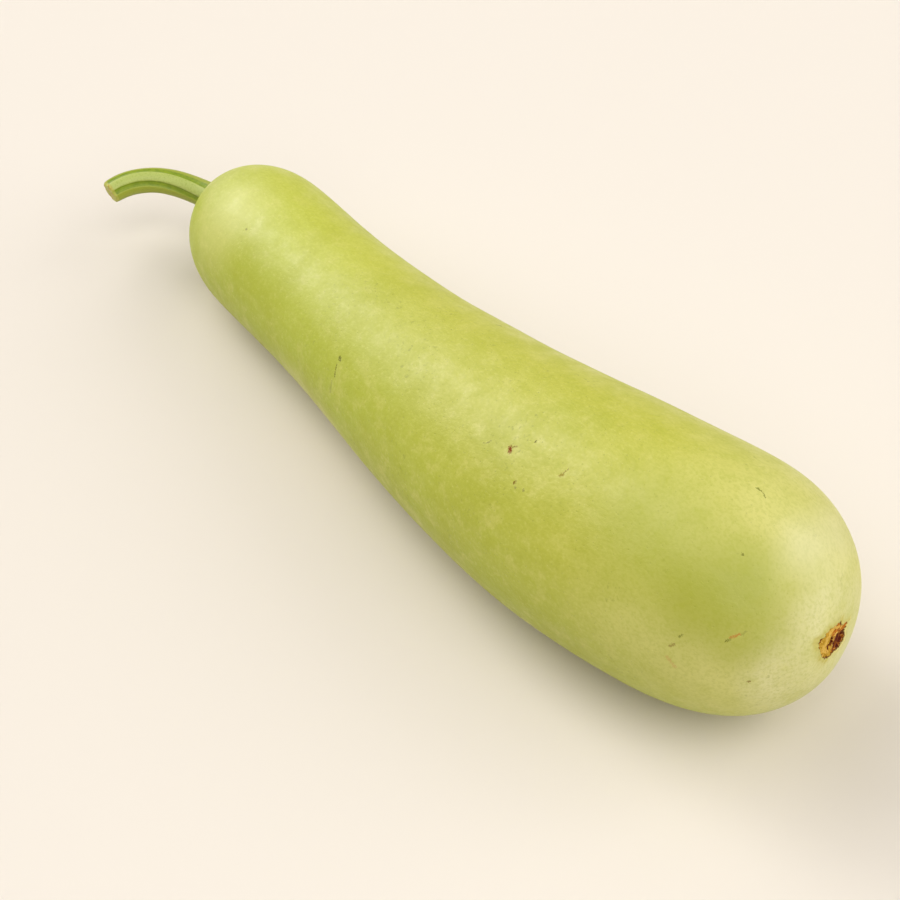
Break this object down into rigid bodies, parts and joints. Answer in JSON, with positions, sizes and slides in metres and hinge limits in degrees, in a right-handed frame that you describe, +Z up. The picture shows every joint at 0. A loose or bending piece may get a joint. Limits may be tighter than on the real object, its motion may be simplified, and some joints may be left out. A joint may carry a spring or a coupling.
{
  "type": "bottle gourd",
  "caption": "Bottle gourd as picked: a long pale green fruit, slim at the stem end and full at the blossom end, lying on its side with its cut stem.",
  "frame": {"origin": "on the ground, under the middle of the bounding box of the fruit with its stem", "axes": "+X along the fruit from the stem end to the blossom end, +Z up as it lies, +Y towards the hollow side of its bend"},
  "size_m": [0.3914, 0.1008, 0.0954],
  "materials": {
    "skin": "satin, faintly waxy pale green skin with darker clouds, pores and a few healed nicks",
    "stem": "green ribbed stalk, satin, with a tan cut face",
    "scar": "rough dried cork, tan with dark brown pits"
  },
  "bodies": {
    "root": {"fruit": "skin", "stem": "stem", "blossom_scar": "scar"}
  },
  "joints": []
}
